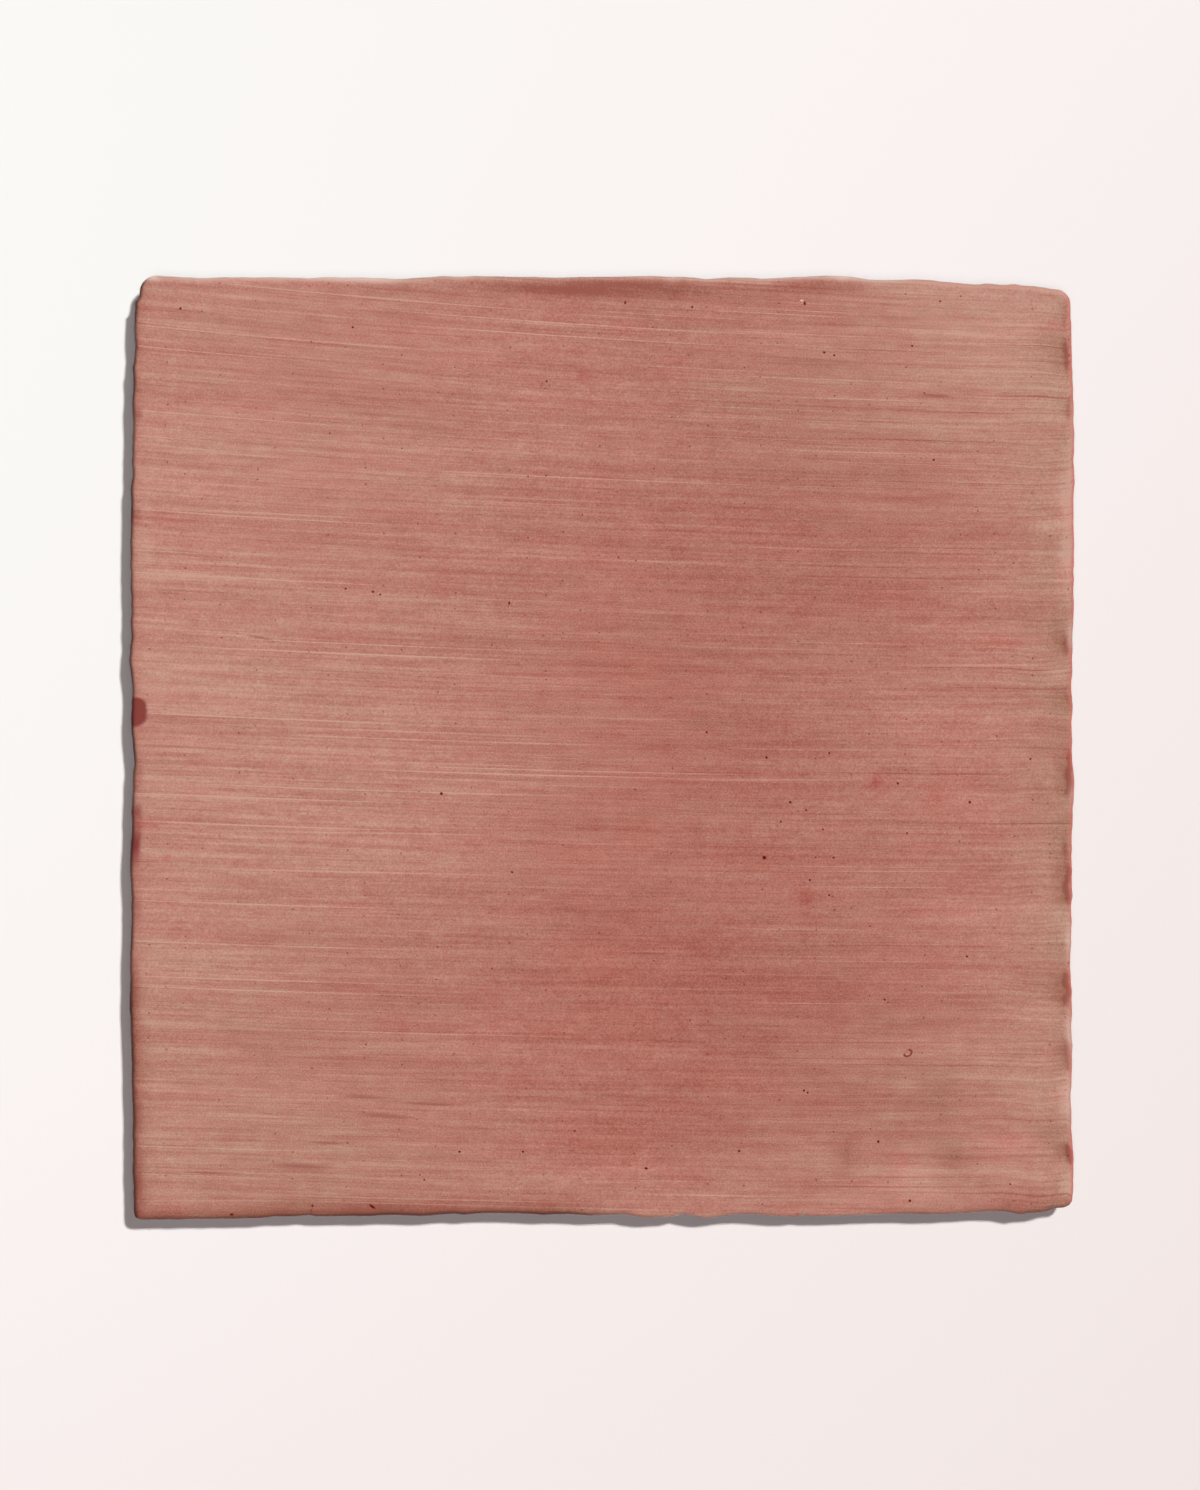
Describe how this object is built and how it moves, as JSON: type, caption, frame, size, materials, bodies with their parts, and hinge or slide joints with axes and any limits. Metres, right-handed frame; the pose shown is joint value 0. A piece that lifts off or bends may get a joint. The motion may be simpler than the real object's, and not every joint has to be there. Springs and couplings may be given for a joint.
{
  "type": "hand-painted ceramic tile",
  "caption": "Square hand-made wall tile with wavy hand-cut edges, a soft rounded rim and a brushed, streaked pink glaze over its face.",
  "frame": {"origin": "middle of the flat back, on the surface that the tile lies on", "axes": "+Z out of the glazed face, +X along the brush strokes, +Y across them, towards the far edge"},
  "size_m": [0.1311, 0.1311, 0.0101],
  "materials": {
    "glaze": "satin"
  },
  "bodies": {
    "root": {"tile": "glaze"}
  },
  "joints": []
}
